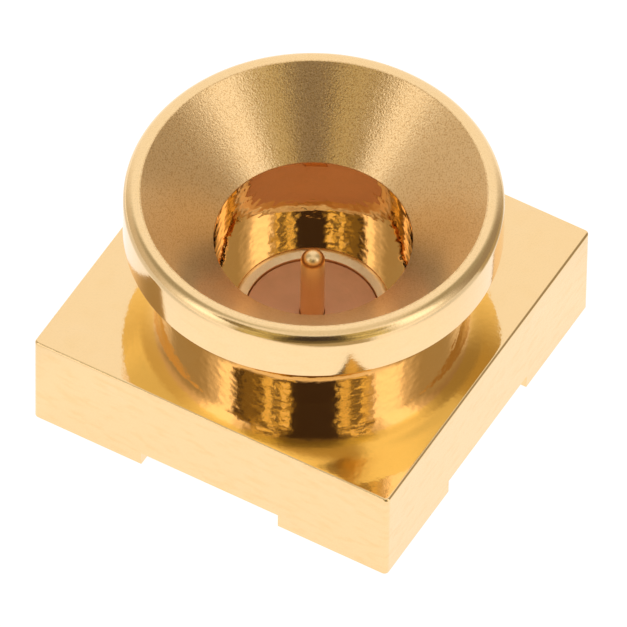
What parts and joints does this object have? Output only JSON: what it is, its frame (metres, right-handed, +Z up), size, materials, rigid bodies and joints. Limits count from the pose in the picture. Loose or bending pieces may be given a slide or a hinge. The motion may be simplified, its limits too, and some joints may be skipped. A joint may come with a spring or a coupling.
{
  "type": "smp jack",
  "caption": "Surface mount coaxial jack with a square footed base, a flared round head and a fixed contact pin standing in its countersunk socket.",
  "frame": {"origin": "centre of the square base, in the plane of the four feet", "axes": "+Z up along the socket's axis, out of its mouth; X and Y square to the base's sides"},
  "size_m": [0.0064, 0.0064, 0.0041],
  "materials": {
    "body": "bright gold plating over turned and milled brass",
    "insulator": "satin tan engineering plastic",
    "centre_contact": "bright gold plating over a copper alloy"
  },
  "bodies": {
    "root": {"body": "body", "insulator": "insulator", "centre_contact": "centre_contact"}
  },
  "joints": []
}
